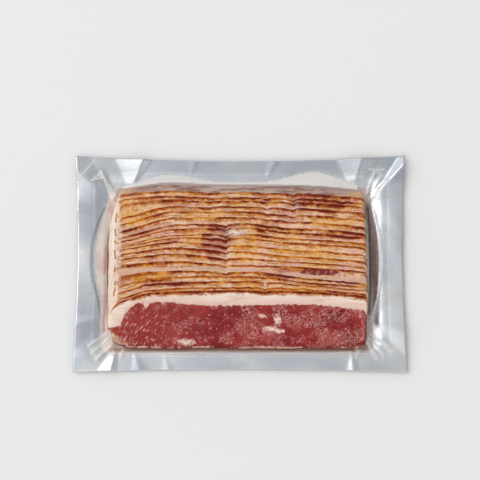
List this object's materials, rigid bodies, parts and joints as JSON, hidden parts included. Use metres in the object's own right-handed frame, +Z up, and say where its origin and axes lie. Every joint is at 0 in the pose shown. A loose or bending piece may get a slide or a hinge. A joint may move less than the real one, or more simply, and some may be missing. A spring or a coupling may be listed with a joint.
{
  "type": "vacuum pack of sliced bacon",
  "caption": "Flat vacuum pack of shingled streaky bacon slices under clear film on a silver foil back, with a wide sealed rim.",
  "frame": {"origin": "on the surface that the pack lies on, under the middle of the pouch", "axes": "+X along the slices, towards the right of the shown side; +Y towards the pack's upper edge; +Z up, out of the clear side"},
  "size_m": [0.264, 0.1728, 0.0239],
  "materials": {
    "foil": "soft satin silver laminate",
    "bacon": "moist cured pork, pale fat and dark red lean",
    "film": "clear glossy film"
  },
  "bodies": {
    "root": {"foil_back": "foil", "slice_01": "bacon", "slice_02": "bacon", "slice_03": "bacon", "slice_04": "bacon", "slice_05": "bacon", "slice_06": "bacon", "slice_07": "bacon", "slice_08": "bacon", "slice_09": "bacon", "slice_10": "bacon", "slice_11": "bacon", "slice_12": "bacon", "slice_13": "bacon", "slice_14": "bacon", "slice_15": "bacon", "slice_16": "bacon", "slice_17": "bacon", "slice_18": "bacon", "slice_19": "bacon", "slice_20": "bacon", "slice_21": "bacon", "slice_22": "bacon", "slice_23": "bacon", "clear_film": "film"}
  },
  "joints": []
}
